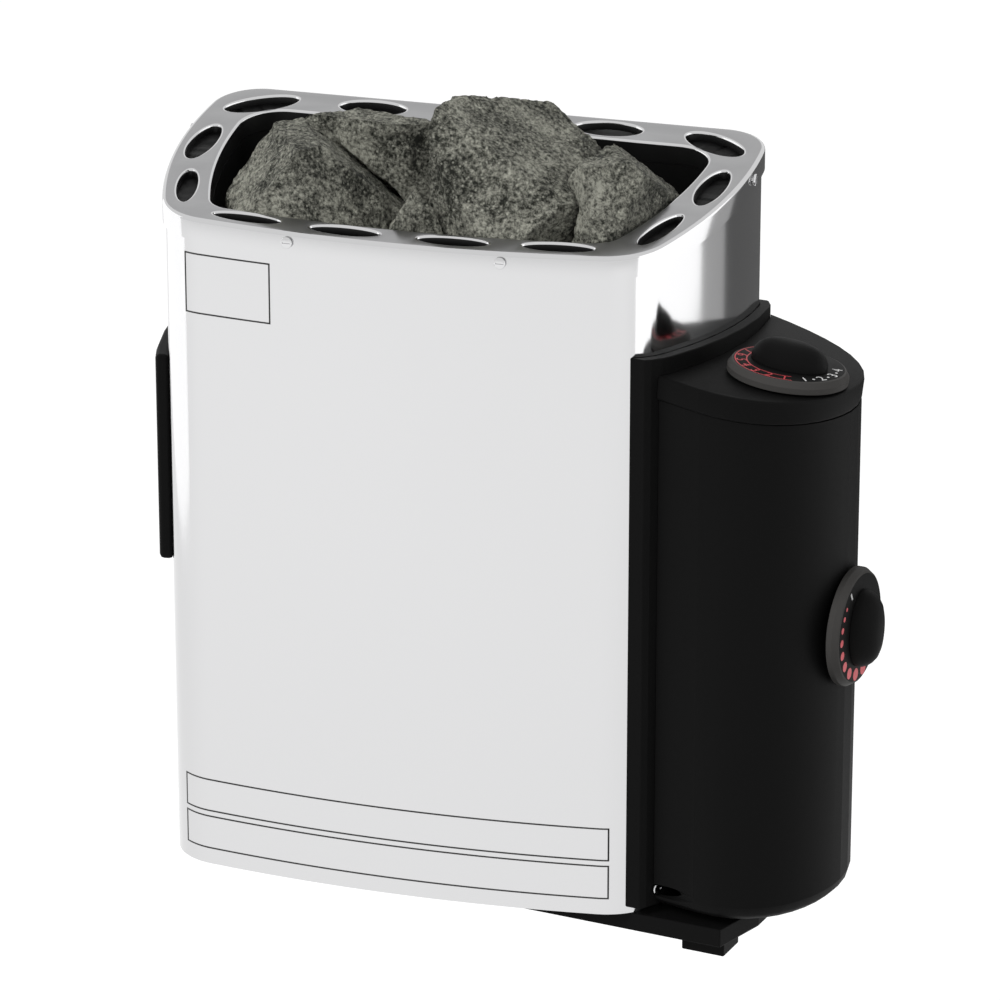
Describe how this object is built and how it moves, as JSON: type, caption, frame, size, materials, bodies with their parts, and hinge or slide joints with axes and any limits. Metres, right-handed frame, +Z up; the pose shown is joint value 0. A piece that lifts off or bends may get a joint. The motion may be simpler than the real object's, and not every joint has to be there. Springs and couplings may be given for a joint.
{
  "type": "sauna heater",
  "caption": "Wall-hung electric sauna heater: bowed steel casing with a vented sloping collar, an open stone compartment and a side control box with timer and thermostat dials.",
  "frame": {"origin": "middle of the wall bracket's back face, on the wall", "axes": "+X to the right seen from the front, +Y into the wall, +Z up"},
  "size_m": [0.4203, 0.2018, 0.456],
  "materials": {
    "stone": "rough broken stone",
    "polished_steel": "polished stainless sheet",
    "satin_steel": "satin stainless sheet",
    "dark_steel": "heat-darkened steel",
    "copper": "drawn copper tube",
    "ceramic": "glazed insulator",
    "grey_plastic": "moulded plastic",
    "red_plastic": "moulded plastic",
    "black_plastic": "fine-grained moulded plastic"
  },
  "bodies": {
    "heater": {"back_panel": "satin_steel", "blank_cover": "black_plastic", "bottom_plate": "dark_steel", "cable_gland": "grey_plastic", "capillary_tube": "copper", "collar_screw_front_left": "polished_steel", "collar_screw_front_right": "polished_steel", "collar_screw_left": "polished_steel", "collar_screw_right": "polished_steel", "control_housing": "black_plastic", "element_plate": "satin_steel", "flange_screw": "polished_steel", "gland_nut": "grey_plastic", "heat_shield": "satin_steel", "heating_element_1": "dark_steel", "heating_element_2": "dark_steel", "heating_element_3": "dark_steel", "housing_lid": "black_plastic", "limiter_body": "grey_plastic", "outer_casing": "polished_steel", "sensor_bulb": "copper", "sensor_cup": "dark_steel", "side_flange": "black_plastic", "stone_container": "dark_steel", "stone_grate": "dark_steel", "stone_left": "stone", "stone_low_1": "stone", "stone_low_2": "stone", "stone_low_3": "stone", "stone_low_4": "stone", "stone_mid_1": "stone", "stone_mid_2": "stone", "stone_peak": "stone", "stone_right": "stone", "stone_slab": "stone", "stone_small": "stone", "terminal_block": "ceramic", "thermostat_body": "ceramic", "timer_body": "ceramic", "top_collar": "satin_steel", "tray_clamp": "black_plastic", "under_tray": "black_plastic", "wall_bracket": "satin_steel", "wall_spacer_left": "black_plastic", "wall_spacer_right": "black_plastic", "wire_loom": "grey_plastic"},
    "timer_control": {"timer_dial": "grey_plastic", "timer_knob": "black_plastic", "timer_shaft": "satin_steel"},
    "thermostat_control": {"thermostat_dial": "grey_plastic", "thermostat_knob": "black_plastic", "thermostat_shaft": "satin_steel"},
    "reset_control": {"reset_button": "red_plastic"}
  },
  "joints": [
    {"name": "timer_turn", "type": "hinge", "parent": "heater", "child": "timer_control", "pos_m": [0.19923, -0.14011, 0.10031], "axis": [0.1042, 0.0518, 0.9932], "range_deg": [-330, 0]},
    {"name": "thermostat_turn", "type": "hinge", "parent": "heater", "child": "thermostat_control", "pos_m": [0.23314, -0.13492, -0.038], "axis": [0.99, -0.1409, 0], "range_deg": [-290, 0]},
    {"name": "reset_press", "type": "slide", "parent": "heater", "child": "reset_control", "axis": [0, 0, 1], "range_m": [0, 0.0028], "stiffness_N_per_m": 300}
  ]
}
